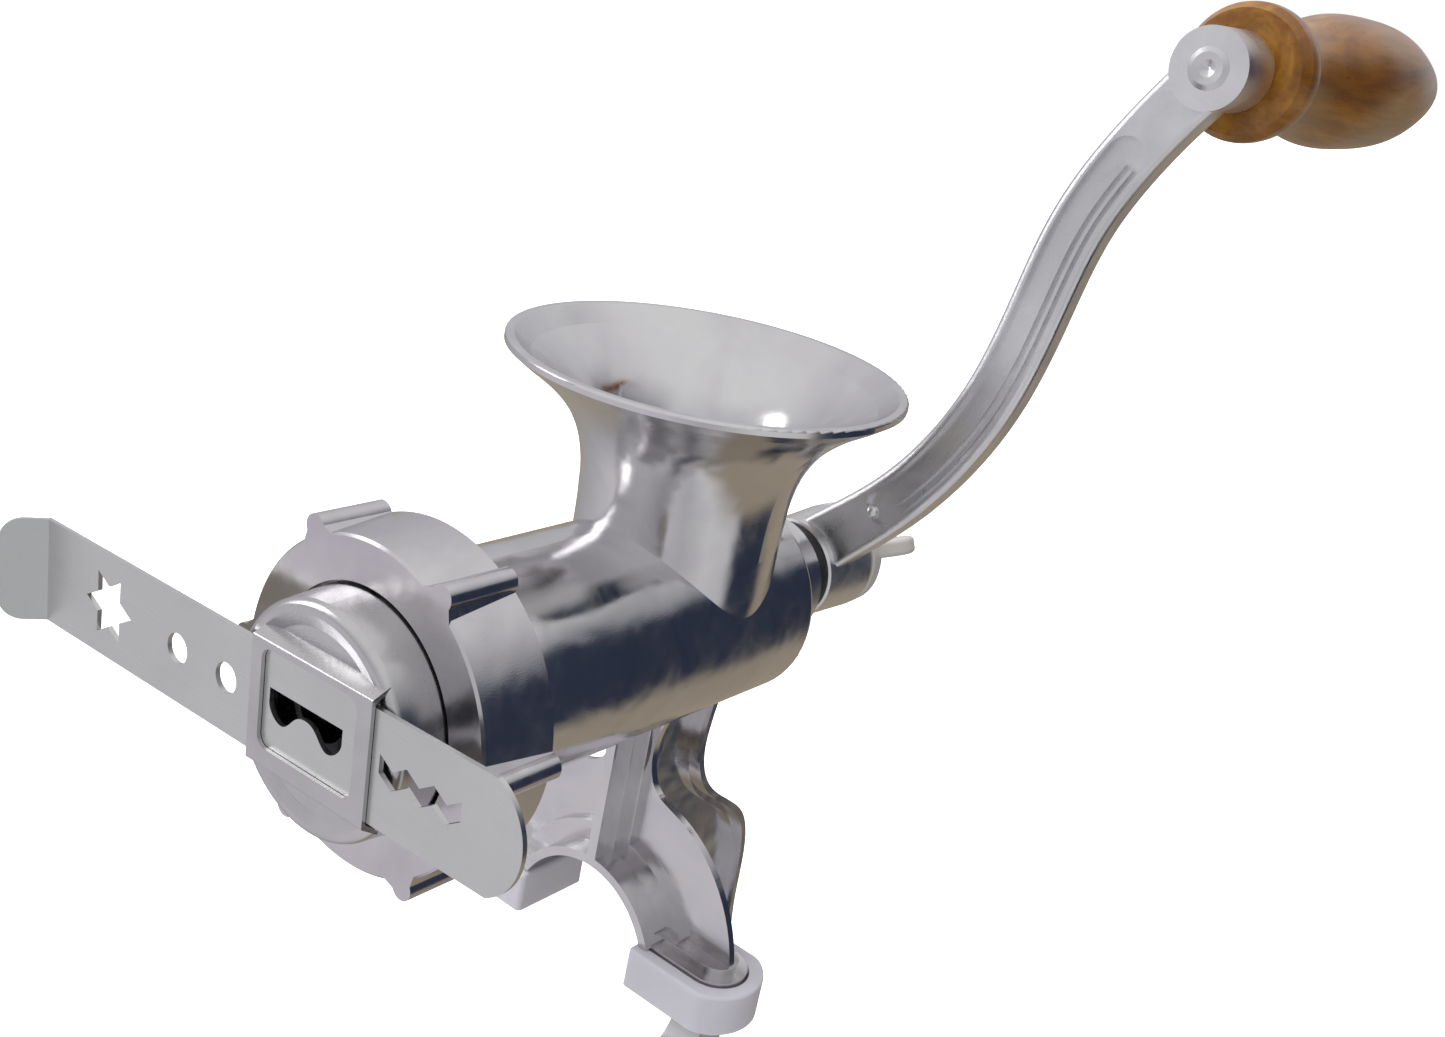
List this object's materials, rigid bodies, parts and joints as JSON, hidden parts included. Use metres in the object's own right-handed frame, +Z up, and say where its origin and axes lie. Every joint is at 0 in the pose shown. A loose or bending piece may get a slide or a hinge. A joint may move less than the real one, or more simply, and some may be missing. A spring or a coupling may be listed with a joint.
{
  "type": "hand crank meat grinder",
  "caption": "Table-clamped hand crank grinder: trumpet hopper, barrel with feed screw, ring nut with cookie slide, curved crank with a turning wooden grip.",
  "frame": {"origin": "on the table top, midway between the two feet, straight below the hopper's axis", "axes": "+Z up; the barrel lies along Y with its outlet facing -Y and its crank at +Y; +X to the right seen from the outlet"},
  "size_m": [0.1695, 0.306, 0.3757],
  "materials": {
    "cast_aluminium": "polished die casting",
    "ring_aluminium": "turned front, polished rim",
    "crank_aluminium": "tumbled die casting",
    "screw_aluminium": "as cast",
    "disc_aluminium": "as cast",
    "stamped_steel": "stamped stainless sheet",
    "slide_steel": "brushed stainless sheet",
    "plate_steel": "ground steel",
    "pin_steel": "bright steel",
    "stud_steel": "bright steel",
    "rivet_steel": "bright steel",
    "washer_steel": "plain steel",
    "clamp_steel": "zinc plated",
    "knob_steel": "zinc plated",
    "wing_plastic": "smooth cream",
    "white_plastic": "soft translucent",
    "bush_steel": "turned steel",
    "black_rubber": "matt",
    "grip_wood": "orange-brown gloss lacquer"
  },
  "bodies": {
    "frame": {"grinder_body": "cast_aluminium", "foot_pad_right": "white_plastic", "foot_pad_left": "white_plastic", "rear_bush": "bush_steel", "centring_plate": "plate_steel", "locating_pin": "pin_steel"},
    "cup": {"cookie_cup": "stamped_steel"},
    "ring": {"ring_nut": "ring_aluminium"},
    "slide": {"cookie_slide": "slide_steel"},
    "drive": {"feed_screw": "screw_aluminium", "feed_stud": "stud_steel", "thrust_washer": "black_rubber", "crank_arm": "crank_aluminium", "handle_pin": "rivet_steel", "grip_washer": "washer_steel"},
    "grip": {"wooden_grip": "grip_wood"},
    "wing_seat": {"wing_washer": "washer_steel"},
    "wing": {"wing_screw": "wing_plastic"},
    "disc": {"clamp_disc": "disc_aluminium"},
    "screw": {"clamp_screw": "clamp_steel"},
    "bar": {"clamp_bar": "clamp_steel", "clamp_bar_knobs": "knob_steel"}
  },
  "joints": [
    {"name": "crank_turn", "type": "hinge", "parent": "frame", "child": "drive", "pos_m": [0, 0.03, 0.086], "axis": [0, 1, 0], "continuous": true},
    {"name": "grip_spin", "type": "hinge", "parent": "drive", "child": "grip", "pos_m": [0.0645, 0.1, 0.221], "axis": [0, 1, 0], "continuous": true},
    {"name": "wing_screw_out", "type": "slide", "parent": "drive", "child": "wing_seat", "axis": [0, 1, 0], "range_m": [0, 0.01]},
    {"name": "wing_screw_turn", "type": "hinge", "parent": "wing_seat", "child": "wing", "pos_m": [0, 0.07, 0.086], "axis": [0, 1, 0], "range_deg": [0, 2880]},
    {"name": "ring_nut_out", "type": "slide", "parent": "frame", "child": "cup", "axis": [0, -1, 0], "range_m": [0, 0.012]},
    {"name": "ring_nut_turn", "type": "hinge", "parent": "cup", "child": "ring", "pos_m": [0, -0.078, 0.086], "axis": [0, -1, 0], "range_deg": [0, 1440]},
    {"name": "shape_slide", "type": "slide", "parent": "cup", "child": "slide", "axis": [0.999, 0, 0.0454], "range_m": [-0.0306, 0.0612]},
    {"name": "clamp_travel", "type": "slide", "parent": "frame", "child": "disc", "axis": [0, 0, 1], "range_m": [0, 0.04]},
    {"name": "clamp_turn", "type": "hinge", "parent": "disc", "child": "screw", "pos_m": [0, 0, -0.09], "axis": [0, 0, 1], "range_deg": [0, 8228.57]},
    {"name": "bar_slide", "type": "slide", "parent": "screw", "child": "bar", "axis": [1, 0, 0], "range_m": [-0.0215, 0.0215]}
  ],
  "couplings": [
    {"joint": "wing_screw_out", "follows": "wing_screw_turn", "m_per_rad": 0.00019894},
    {"joint": "ring_nut_out", "follows": "ring_nut_turn", "m_per_rad": 0.00047746},
    {"joint": "clamp_travel", "follows": "clamp_turn", "m_per_rad": 0.00027852}
  ]
}
